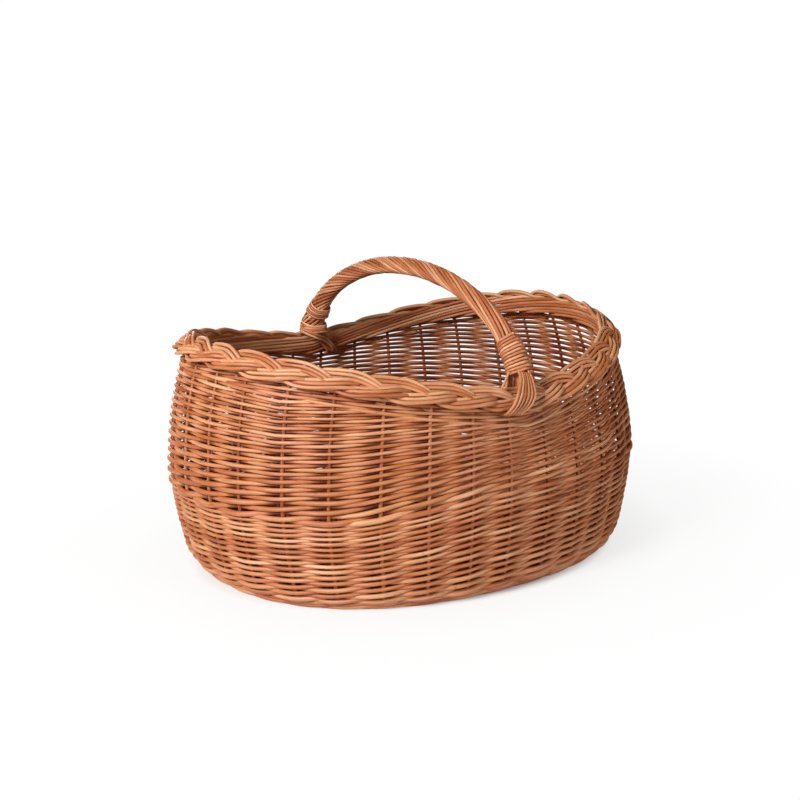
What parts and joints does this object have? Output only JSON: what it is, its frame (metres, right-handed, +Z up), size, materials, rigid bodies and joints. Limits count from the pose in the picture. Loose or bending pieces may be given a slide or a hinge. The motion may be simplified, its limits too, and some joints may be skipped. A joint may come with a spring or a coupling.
{
  "type": "wicker log basket",
  "caption": "Oval bulging willow log basket with woven siding, a plaited saddle-shaped rim and a fixed roped bow handle across its short axis.",
  "frame": {"origin": "on the floor, under the middle of the basket's bounding box", "axes": "+X along the basket's length, +Y along its width in the plane of the handle, +Z up"},
  "size_m": [0.5214, 0.4174, 0.3086],
  "materials": {
    "willow_stake": "peeled, satin",
    "willow_weaver": "peeled, satin",
    "willow_base": "peeled, satin",
    "willow_border": "peeled, satin",
    "willow_handle": "peeled, satin",
    "willow_skein": "split, satin"
  },
  "bodies": {
    "root": {"stake_01": "willow_stake", "stake_02": "willow_stake", "stake_03": "willow_stake", "stake_04": "willow_stake", "stake_05": "willow_stake", "stake_06": "willow_stake", "stake_07": "willow_stake", "stake_08": "willow_stake", "stake_09": "willow_stake", "stake_10": "willow_stake", "stake_11": "willow_stake", "stake_12": "willow_stake", "stake_13": "willow_stake", "stake_14": "willow_stake", "stake_15": "willow_stake", "stake_16": "willow_stake", "stake_17": "willow_stake", "stake_18": "willow_stake", "stake_19": "willow_stake", "stake_20": "willow_stake", "stake_21": "willow_stake", "stake_22": "willow_stake", "stake_23": "willow_stake", "stake_24": "willow_stake", "stake_25": "willow_stake", "stake_26": "willow_stake", "stake_27": "willow_stake", "stake_28": "willow_stake", "stake_29": "willow_stake", "stake_30": "willow_stake", "stake_31": "willow_stake", "stake_32": "willow_stake", "base_stick_long_1": "willow_base", "base_stick_long_2": "willow_base", "base_stick_long_3": "willow_base", "base_stick_cross_1": "willow_base", "base_stick_cross_2": "willow_base", "base_stick_cross_3": "willow_base", "base_stick_cross_4": "willow_base", "base_stick_cross_5": "willow_base", "base_weaver": "willow_base", "lower_weaver_1": "willow_weaver", "lower_weaver_2": "willow_weaver", "upper_weaver_1": "willow_weaver", "upper_weaver_2": "willow_weaver", "foot_rod_inner": "willow_weaver", "foot_rod_outer": "willow_weaver", "plait_strand_1": "willow_border", "plait_strand_2": "willow_border", "plait_strand_3": "willow_border", "handle_rope_1": "willow_handle", "handle_rope_2": "willow_handle", "handle_rope_3": "willow_handle", "handle_rope_4": "willow_handle", "handle_rope_5": "willow_handle", "handle_rope_6": "willow_handle", "handle_bow": "willow_handle", "handle_binding_near": "willow_skein", "handle_binding_far": "willow_skein"}
  },
  "joints": []
}
